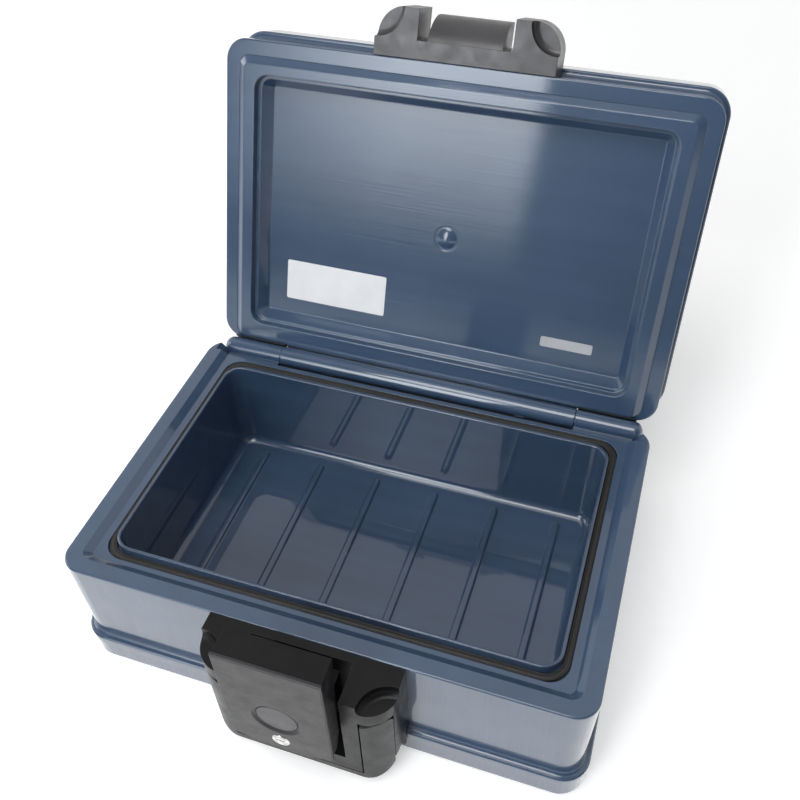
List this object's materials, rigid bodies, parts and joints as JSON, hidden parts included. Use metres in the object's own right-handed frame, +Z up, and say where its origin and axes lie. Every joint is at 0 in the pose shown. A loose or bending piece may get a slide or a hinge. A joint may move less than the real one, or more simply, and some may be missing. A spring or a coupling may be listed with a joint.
{
  "type": "fireproof case",
  "caption": "Fireproof document case with an insulated base and hinged lid, rubber seal, push-button latch with key lock, and a folding carrying handle.",
  "frame": {"origin": "middle of the case's flat underside, below the middle of the rim between base and lid", "axes": "+X to the right seen from the front, -Y towards the latch at the front, +Z up; the lid is stored standing open at the back"},
  "size_m": [0.3686, 0.4423, 0.355],
  "materials": {
    "case_shell": "glossy slate-blue moulding",
    "liner": "mirror-like slate-blue moulding",
    "insulation": "dry cast filling",
    "seal": "soft black rubber",
    "latch_plastic": "satin charcoal moulding",
    "lock_body": "near-black satin moulding",
    "lock_plate": "mid-grey satin moulding",
    "button": "light grey satin moulding",
    "steel": "plain steel",
    "key_metal": "bright plated metal",
    "label": "blank paper-backed film"
  },
  "bodies": {
    "base": {"base_outer_shell": "case_shell", "base_inner_tray": "liner", "base_fire_fill": "insulation", "tray_gasket": "seal", "hinge_pin": "steel", "latch_housing": "latch_plastic", "housing_screws": "steel", "lock_case": "lock_body", "lock_front_plate": "lock_plate", "case_screws": "steel", "hook_pivot_pin": "steel", "hook_spring": "steel", "key_cylinder": "key_metal", "handle_pivot_pins": "steel"},
    "lid": {"lid_outer_shell": "case_shell", "lid_inner_panel": "liner", "lid_fire_fill": "insulation", "lid_catch_bracket": "latch_plastic", "bracket_screws": "steel", "rating_label": "label", "serial_label": "label"},
    "handle": {"carry_handle": "latch_plastic"},
    "button": {"push_button": "button"},
    "hook": {"catch_hook": "steel"},
    "key": {"key_plug": "key_metal", "lock_cam": "steel", "cam_clip": "steel"}
  },
  "joints": [
    {"name": "lid_hinge", "type": "hinge", "parent": "base", "child": "lid", "pos_m": [0, 0.1243, 0.0977], "axis": [1, 0, 0], "range_deg": [0, 110]},
    {"name": "handle_swing", "type": "hinge", "parent": "base", "child": "handle", "pos_m": [0, -0.1465, 0.081], "axis": [-1, 0, 0], "range_deg": [0, 90]},
    {"name": "push_button", "type": "slide", "parent": "base", "child": "button", "axis": [0, -1, 0], "range_m": [0, 0.0032]},
    {"name": "catch_hook", "type": "hinge", "parent": "base", "child": "hook", "pos_m": [0, -0.1574, 0.112], "axis": [-1, 0, 0], "range_deg": [0, 10.5]},
    {"name": "key_turn", "type": "hinge", "parent": "base", "child": "key", "pos_m": [0, -0.1685, 0.0683], "axis": [0, -1, 0], "range_deg": [0, 90]}
  ],
  "couplings": [
    {"joint": "catch_hook", "follows": "push_button", "rad_per_m": 57.269}
  ]
}
